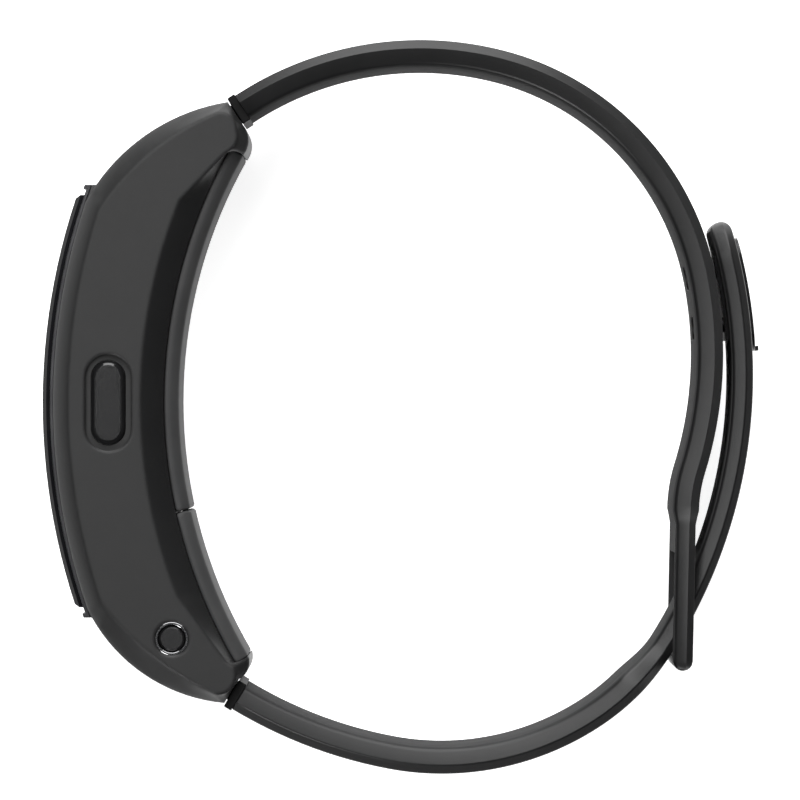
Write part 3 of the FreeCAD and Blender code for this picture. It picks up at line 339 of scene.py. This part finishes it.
def paint_inner_reflection(piece: bpy.types.Object, material: bpy.types.Material, least: float = 0.75) -> None:
    """Give the faces that touch the wrist their own lighter finish, a painted reflection of the pale floor
    that they show at a grazing angle.

    Args:
        piece: Strap in object mode.
        material: Finish of its inner face, lighter than the strap's: a painted reflection of the pale floor.
        least: Least cosine between such a face's normal and the way to the middle of the band.
    """
    piece.data.materials.append(material)
    for face in piece.data.polygons:
        inward = -Vector((face.center.x, face.center.y, 0)).normalized()
        if face.normal.dot(inward) > least:
            face.material_index = 1


@dataclass
class Section:
    """Cross-section of a strap, with a ridge along each rim."""

    width: float
    thickness: float
    outer_bevel: float = 0.72
    inner_round: float = 0.42
    lean: float = 0.34
    round_segments: int = 4
    edge_slack: float = 0.01

    def place(self, name: str, point: Vector, outward: Vector) -> bpy.types.Object:
        """Draw the section as one face, upright on a point.

        Args:
            name: Name of the object.
            point: Middle of the section in millimetres.
            outward: Unit vector away from the wrist.

        Returns:
            The object, in edit mode with the section selected.
        """
        all_deselected()
        heading = math.atan2(outward.y, outward.x)
        centre = (point.x * MM, point.y * MM, MID_HEIGHT * MM)
        bpy.ops.mesh.primitive_plane_add(size=1, location=centre, rotation=(math.pi / 2, 0, heading))
        piece = bpy.context.object
        piece.name = name
        piece.data.name = name
        piece.scale = (self.thickness * MM, self.width * MM, 1)
        bpy.ops.object.transform_apply(location=True, rotation=True, scale=True)
        bpy.ops.object.mode_set(mode="EDIT")
        flat = Vector((point.x, point.y, 0)) * MM
        pick_points(piece, lambda co: (co - flat).dot(outward) < 0)
        narrow = 1 - 2 * self.lean / self.width
        bpy.ops.transform.resize(value=(1, 1, narrow), center_override=centre)
        bpy.ops.mesh.bevel(offset=self.inner_round * MM, segments=self.round_segments, affect="VERTICES")
        edge = self.thickness / 2 - self.edge_slack
        pick_points(piece, lambda co: (co - flat).dot(outward) > edge * MM)
        bpy.ops.mesh.bevel(offset=self.outer_bevel * MM, segments=1, affect="VERTICES")
        bpy.ops.mesh.select_all(action="SELECT")
        return piece


@dataclass
class Path:
    """Walk along a strap's centre line, with the section in hand."""

    point: Vector
    heading: float

    def ahead(self) -> Vector:
        """Unit vector along the strap."""
        angle = math.radians(self.heading)
        return Vector((math.cos(angle), math.sin(angle), 0))

    def left(self) -> Vector:
        """Unit vector to the left of the strap."""
        angle = math.radians(self.heading)
        return Vector((-math.sin(angle), math.cos(angle), 0))

    def bend(self, radius: float, turn: float, side: Turn, step: float = 1.6) -> None:
        """Spin the selected section round an arc.

        Args:
            radius: Radius of the arc in millimetres.
            turn: Angle of the arc in degrees.
            side: Side to which it bends.
            step: Largest angle of one step in degrees.
        """
        centre = self.point + self.left() * (side.value * radius)
        steps = max(1, math.ceil(turn / step))
        bpy.ops.mesh.spin(steps=steps, angle=-side.value * math.radians(turn),
                          center=tuple(centre * MM), axis=(0, 0, 1))
        angle = math.atan2(self.point.y - centre.y, self.point.x - centre.x) + side.value * math.radians(turn)
        self.point = centre + Vector((math.cos(angle), math.sin(angle), 0)) * radius
        self.heading += side.value * turn

    def run(self, length: float) -> None:
        """Extrude the selected section straight ahead by a length in millimetres."""
        step = self.ahead() * length
        bpy.ops.mesh.extrude_region_move(TRANSFORM_OT_translate={"value": tuple(step * MM)})
        self.point = self.point + step

    def resize(self, across: float, thick: float, offset: float = 0.0) -> None:
        """Scale the selected section.

        Args:
            across: Factor across the band.
            thick: Factor through the strap's thickness.
            offset: Place of the fixed point, in millimetres to the left of the centre line.
        """
        fixed = self.point + self.left() * offset
        centre = (fixed.x * MM, fixed.y * MM, MID_HEIGHT * MM)
        out = self.left()
        matrix = ((out.x, out.y, 0), (-out.y, out.x, 0), (0, 0, 1))
        bpy.ops.transform.resize(value=(thick, 1, across), orient_matrix=matrix, orient_type="GLOBAL",
                                 orient_matrix_type="GLOBAL", center_override=centre)


@dataclass
class Strap:
    """What both straps share: their section, the fine rounding of their edges and their finishes."""

    section: Section = field(default_factory=lambda: Section(18.0, 2.2))
    edge_round: float = 0.16
    edge_angle: float = 24.0
    edge_segments: int = 3

    def finish(self, piece: bpy.types.Object, outside: bpy.types.Material,
               inside: bpy.types.Material) -> None:
        """Round the strap's edges and give it its two finishes.

        Args:
            piece: Strap that has its whole shape.
            outside: Finish of the strap.
            inside: Finish of its inner face, with a painted reflection of the pale floor.
        """
        close_and_smooth(piece)
        finish_modifier(piece, "BEVEL", width=self.edge_round * MM, segments=self.edge_segments,
                        limit_method="ANGLE", angle_limit=math.radians(self.edge_angle))
        close_and_smooth(piece)
        piece.data.materials.append(outside)
        paint_inner_reflection(piece, inside)


@dataclass
class UpperStrap(Strap):
    """Upper strap with its clasp slots and the keeper ring moulded on its end."""

    start: Vector = field(default_factory=lambda: Vector((-13.15, 24.93, 0)))
    heading: float = 33.5
    arcs: tuple[tuple[float, float], ...] = ((26.7, 48.4), (22.8, 63.1), (32.3, 29.2))
    last_arc: tuple[float, float] = (12.5, 16.0)
    keeper_width: float = 19.0
    keeper_thickness: float = 1.65
    keeper_length: float = 13.3
    keeper_bar: float = 1.25
    keeper_opening: float = 8.5
    window_width: float = 15.2
    widening_step: float = 0.6
    widening_steps: int = 2
    end_angles: tuple[float, ...] = (25, 45, 62, 78)
    end_taper: float = 0.02
    bevel_start: float = 1.0
    bevel_slack: float = 0.12
    bevel_lift: float = 0.05
    slot_centre: Vector = field(default_factory=lambda: Vector((-13.553, 2.663, MID_HEIGHT)))
    slot_reach: float = 39.9
    slot_angles: tuple[float, float] = (5.956, 12.244)
    slot_size: tuple[float, float] = (2.0, 5.7)
    slot_vertices: int = 28
    cutter_depth: float = 6.0

    def make(self, outside: bpy.types.Material, inside: bpy.types.Material) -> bpy.types.Object:
        """Build the strap and let it stand for its CAD node.

        Args:
            outside: Finish of the strap.
            inside: Finish of its inner face, with a painted reflection of the pale floor.

        Returns:
            The finished strap.
        """
        path = Path(self.start.copy(), self.heading)
        piece = self.section.place("upper_strap_skin", path.point, path.left())
        for radius, turn in self.arcs:
            path.bend(radius, turn, Turn.RIGHT)
        path.bend(*self.last_arc, Turn.LEFT, step=2.0)
        self.extrude_keeper(path)
        end, along = path.point.copy(), path.ahead()
        self.even_bevel(piece, end, along)
        close_and_smooth(piece)
        self.cut_window(piece, end, along)
        for angle in self.slot_angles:
            self.cut_slot(piece, math.radians(angle))
        self.finish(piece, outside, inside)
        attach(piece, Body.CASE.value)
        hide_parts("upper_strap")
        return piece

    def extrude_keeper(self, path: Path) -> None:
        """Draw the section out into the flat end that the keeper is cut from."""
        wide = (self.keeper_width / self.section.width) ** (1 / self.widening_steps)
        thin = (self.keeper_thickness / self.section.thickness) ** (1 / self.widening_steps)
        for _ in range(self.widening_steps):
            path.run(self.widening_step)
            path.resize(wide, thin)
        radius = self.keeper_thickness / 2
        path.run(self.keeper_length - self.widening_step * self.widening_steps - radius)
        before = 1.0
        for angle in self.end_angles:
            turn = math.radians(angle)
            previous = math.asin(math.sqrt(max(0.0, 1 - before ** 2)))
            path.run(radius * (math.sin(turn) - math.sin(previous)))
            path.resize(1 - self.end_taper * (before - math.cos(turn)), math.cos(turn) / before)
            before = math.cos(turn)

    def even_bevel(self, piece: bpy.types.Object, end: Vector, along: Vector) -> None:
        """Bring the keeper's outer bevel back to an even slope.

        Args:
            piece: Strap in edit mode.
            end: End of the keeper in millimetres.
            along: Unit vector along the keeper.
        """
        start = (end - along * (self.keeper_length - self.bevel_start)) * MM
        rise = self.section.outer_bevel * self.keeper_width / self.section.width
        run = self.section.outer_bevel * self.keeper_thickness / self.section.thickness
        height = self.keeper_width / 2 - rise
        for sign in (1, -1):
            pick_points(piece, lambda co: (co - start).dot(along) > 0
                        and abs((co.z / MM - MID_HEIGHT) * sign - height) < self.bevel_slack)
            bpy.ops.transform.translate(value=(0, 0, sign * (rise - run + self.bevel_lift) * MM))

    def cut_slot(self, piece: bpy.types.Object, angle: float) -> None:
        """Cut one of the slots that take the clasp's studs.

        Args:
            piece: Strap to cut.
            angle: Place of the slot in radians about the centre of the tongue's curve.
        """
        length, width = self.slot_size
        place = self.slot_centre + Vector((math.cos(angle), math.sin(angle), 0)) * self.slot_reach
        all_deselected()
        bpy.ops.mesh.primitive_cylinder_add(vertices=self.slot_vertices, radius=length / 2 * MM,
                                            depth=self.cutter_depth * MM, location=tuple(place * MM),
                                            rotation=(0, math.pi / 2, angle))
        cutter = bpy.context.object
        bpy.ops.object.transform_apply(location=True, rotation=True, scale=True)
        bpy.ops.object.mode_set(mode="EDIT")
        for sign in (1, -1):
            pick_points(cutter, lambda co: (co.z - place.z * MM) * sign > 0)
            bpy.ops.transform.translate(value=(0, 0, sign * (width - length) / 2 * MM))
        cut_away(piece, cutter)

    def cut_window(self, piece: bpy.types.Object, end: Vector, along: Vector) -> None:
        """Cut the window that the tongue runs through.

        Args:
            piece: Strap to cut.
            end: End of the keeper in millimetres.
            along: Unit vector along the keeper.
        """
        middle = end - along * (self.keeper_bar + self.keeper_opening / 2)
        all_deselected()
        heading = math.atan2(along.y, along.x)
        bpy.ops.mesh.primitive_cube_add(size=1, location=(middle.x * MM, middle.y * MM, MID_HEIGHT * MM),
                                        rotation=(0, 0, heading))
        cutter = bpy.context.object
        cutter.scale = (self.keeper_opening * MM, self.cutter_depth * MM, self.window_width * MM)
        bpy.ops.object.transform_apply(location=True, rotation=True, scale=True)
        cut_away(piece, cutter)


@dataclass
class LowerStrap(Strap):
    """Lower strap and tongue in one piece; on the band the tongue's tail flexes open, but this piece does not
    bend.
    """

    start: Vector = field(default_factory=lambda: Vector((-13.45, -24.05, 0)))
    heading: float = -31.2
    wide_arcs: tuple[tuple[float, float], ...] = ((37.85, 20.6), (22.8, 43.7), (19.5, 11.0))
    neck_radius: float = 19.5
    neck_turn: float = 13.5
    neck_steps: int = 14
    tongue_radius: float = 41.7
    tongue_turn: float = 48.9
    tip_radius: float = 3.0
    tip_distances: tuple[float, ...] = (2.5, 2.0, 1.5, 1.1, 0.8, 0.55, 0.35, 0.2, 0.09, 0.02)
    tongue_width: float = 14.4
    tongue_thickness: float = 1.8
    hinge: Vector = field(default_factory=lambda: Vector((27.035, -10.917, MID_HEIGHT)))
    hinge_heading: Vector = field(default_factory=lambda: Vector((0.3173, 0.9483, 0)))
    flex: float = 2.5

    def make(self, outside: bpy.types.Material, inside: bpy.types.Material) -> bpy.types.Object:
        """Build the strap and tongue and let them stand for their two CAD nodes.

        Args:
            outside: Finish of the strap.
            inside: Finish of its inner face, with a painted reflection of the pale floor.

        Returns:
            The finished strap.
        """
        path = Path(self.start.copy(), self.heading)
        piece = self.section.place("lower_strap_skin", path.point, -path.left())
        for radius, turn in self.wide_arcs:
            path.bend(radius, turn, Turn.LEFT)
        self.narrow(path)
        tip_turn = math.degrees((self.tip_radius - self.tongue_thickness / 2) / self.tongue_radius)
        path.bend(self.tongue_radius, self.tongue_turn - tip_turn, Turn.LEFT, step=1.0)
        self.round_tip(path)
        self.finish(piece, outside, inside)
        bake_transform(piece)
        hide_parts("lower_strap", "strap_tail")
        return piece

    def narrow(self, path: Path) -> None:
        """Draw the section in from the strap's width to the tongue's."""
        outer = -self.section.thickness / 2
        before, deep = self.section.width, self.section.thickness
        for stage in range(1, self.neck_steps + 1):
            share = stage / self.neck_steps
            share = share * share * (3 - 2 * share)
            width = self.section.width + (self.tongue_width - self.section.width) * share
            thickness = self.section.thickness + (self.tongue_thickness - self.section.thickness) * share
            path.bend(self.neck_radius, self.neck_turn / self.neck_steps, Turn.LEFT)
            path.resize(width / before, thickness / deep, outer)
            before, deep = width, thickness

    def round_tip(self, path: Path) -> None:
        """Round the tongue's end off, in plan and through its thickness."""
        radius = self.tongue_thickness / 2
        middle = -(self.section.thickness - self.tongue_thickness) / 2
        before, deep = self.tongue_width, self.tongue_thickness
        left = self.tip_radius
        for distance in self.tip_distances:
            path.bend(self.tongue_radius, math.degrees((left - distance) / self.tongue_radius), Turn.LEFT)
            left = distance
            width = self.tongue_width - 2 * self.tip_radius + 2 * quarter(self.tip_radius, distance)
            thickness = 2 * quarter(radius, min(distance, radius))
            path.resize(width / before, thickness / deep, middle)
            before, deep = width, thickness


def quarter(radius: float, distance: float) -> float:
    """Height of a quarter circle at a distance from its end."""
    return math.sqrt(radius ** 2 - (radius - distance) ** 2)


def background_rays(tree: bpy.types.NodeTree) -> bpy.types.NodeSocket:
    """Tell the rays that show a background: the camera's, reflected and transmitted ones.

    Args:
        tree: Node tree to add the nodes to.

    Returns:
        Socket that is 1 on such a ray, and otherwise 0.
    """
    path = tree.nodes.new("ShaderNodeLightPath")
    seen = path.outputs["Is Camera Ray"]
    for kind in ("Is Glossy Ray", "Is Transmission Ray"):
        larger = tree.nodes.new("ShaderNodeMath")
        larger.operation = "MAXIMUM"
        tree.links.new(seen, larger.inputs[0])
        tree.links.new(path.outputs[kind], larger.inputs[1])
        seen = larger.outputs[0]
    return seen


@dataclass(frozen=True)
class Softbox:
    """Soft lamp, with its place and size in millimetres and its power in watts."""

    name: str
    place: tuple[float, float, float]
    size: tuple[float, float]
    power: float

    def hang(self, target: Vector) -> None:
        """Hang the lamp so that it faces a point.

        Args:
            target: The point in millimetres.
        """
        lamp = bpy.data.lights.new(self.name, "AREA")
        lamp.shape = "RECTANGLE"
        lamp.size = self.size[0] * MM
        lamp.size_y = self.size[1] * MM
        lamp.energy = self.power
        hung = bpy.data.objects.new(self.name, lamp)
        hung.location = Vector(self.place) * MM
        hung.rotation_euler = (target * MM - hung.location).to_track_quat("-Z", "Y").to_euler()
        bpy.context.scene.collection.objects.link(hung)


@dataclass
class Studio:
    """Pale floor, soft lamps and the camera."""

    softboxes: tuple[Softbox, ...] = (
        Softbox("key_softbox", (0, 573, 402), (620, 980), 10.5),
        Softbox("top_softbox", (-230, 130, 980), (460, 320), 2.8),
        Softbox("end_softbox", (-270, -500, 430), (200, 160), 1.9),
    )
    floor_size: float = 6000.0
    floor_grey: float = 0.86
    floor_roughness: float = 0.9
    floor_glow: float = 0.85
    fill_colour: Colour = (0.9, 0.92, 0.95)
    fill_strength: float = 0.08
    sensor_width: float = 36.0
    clip_range: tuple[float, float] = (10.0, 20000.0)
    view_width: float = 66.4
    camera_height: float = 822.0
    view_centre: Vector = field(default_factory=lambda: Vector((-0.09, 0.62, 18.0)))

    def build(self) -> None:
        """Make the floor, the world, the lamps and the camera."""
        bpy.context.scene.view_settings.view_transform = "Standard"
        self.lay_floor()
        self.light_world()
        for softbox in self.softboxes:
            softbox.hang(Vector((0, 0, MID_HEIGHT)))
        self.place_camera()

    def lay_floor(self) -> None:
        """Lay a plain floor that looks white and keeps the shadow."""
        all_deselected()
        bpy.ops.mesh.primitive_plane_add(size=self.floor_size * MM, location=(0, 0, 0))
        floor = bpy.context.object
        floor.name = "floor"
        material, shader, tree = paint("pale_floor")
        shader.inputs["Base Color"].default_value = (self.floor_grey, self.floor_grey, self.floor_grey, 1)
        shader.inputs["Roughness"].default_value = self.floor_roughness
        glow = tree.nodes.new("ShaderNodeEmission")
        glow.inputs["Strength"].default_value = self.floor_glow
        blend = tree.nodes.new("ShaderNodeAddShader")
        mix = tree.nodes.new("ShaderNodeMixShader")
        tree.links.new(shader.outputs[0], blend.inputs[0])
        tree.links.new(glow.outputs[0], blend.inputs[1])
        tree.links.new(background_rays(tree), mix.inputs["Fac"])
        tree.links.new(shader.outputs[0], mix.inputs[1])
        tree.links.new(blend.outputs[0], mix.inputs[2])
        tree.links.new(mix.outputs[0], tree.nodes["Material Output"].inputs["Surface"])
        floor.data.materials.append(material)

    def light_world(self) -> None:
        """Fill the scene with a weak even light."""
        world = bpy.data.worlds.new("studio")
        world.use_nodes = True
        background = world.node_tree.nodes["Background"]
        background.inputs["Color"].default_value = (*self.fill_colour, 1)
        background.inputs["Strength"].default_value = self.fill_strength
        bpy.context.scene.world = world

    def place_camera(self) -> None:
        """Look along the band's width from the key's side."""
        lens = bpy.data.cameras.new("camera")
        lens.sensor_width = self.sensor_width
        lens.clip_start, lens.clip_end = (distance * MM for distance in self.clip_range)
        camera = bpy.data.objects.new("camera", lens)
        camera.location = Vector((self.view_centre.x, self.view_centre.y, self.camera_height)) * MM
        lens.lens = lens.sensor_width * (self.camera_height - self.view_centre.z) / self.view_width
        bpy.context.scene.collection.objects.link(camera)
        bpy.context.scene.camera = camera


def main() -> None:
    """Build the band's looks in order."""
    logging.basicConfig(level=logging.INFO, format="%(message)s")
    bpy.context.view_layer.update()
    dressing = CadDressing()
    dressing.dress()
    strap = dressing.materials[STRAP_FINISH.name]
    # Lighter finish for the straps' inner faces: a painted reflection of the pale floor.
    inner_reflection_paint = PAINTED_REFLECTION_FINISH.make()
    for maker in (UpperStrap(), LowerStrap()):
        piece = maker.make(strap, inner_reflection_paint)
        LOG.info("%s: %d faces", piece.name, len(piece.data.polygons))
    Studio().build()


if __name__ == "__main__":
    main()
